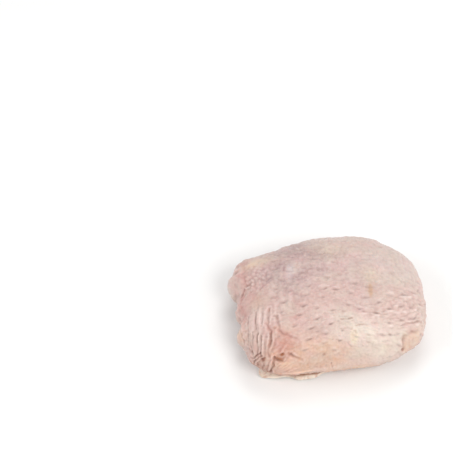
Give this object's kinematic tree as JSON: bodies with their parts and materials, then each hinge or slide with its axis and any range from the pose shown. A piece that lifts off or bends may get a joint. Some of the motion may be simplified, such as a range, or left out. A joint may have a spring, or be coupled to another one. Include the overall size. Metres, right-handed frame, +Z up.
{
  "type": "raw chicken thigh",
  "caption": "A plump raw chicken thigh lying skin side up: a slumped pillow of meat wrapped in pale dimpled skin that is gathered into pleats at one end.",
  "frame": {"origin": "centre of the bounding box at its bottom, on the flat resting face of the meat", "axes": "+X along the thigh from the gathered, pleated end to the round end, +Y across it away from the viewer of the picture, +Z up"},
  "size_m": [0.109, 0.0866, 0.0363],
  "materials": {
    "skin": "moist, soft, dimpled poultry skin, pinkish beige",
    "meat": "moist raw poultry meat with pale fat at the edge"
  },
  "bodies": {
    "root": {"skin": "skin", "meat": "meat"}
  },
  "joints": []
}
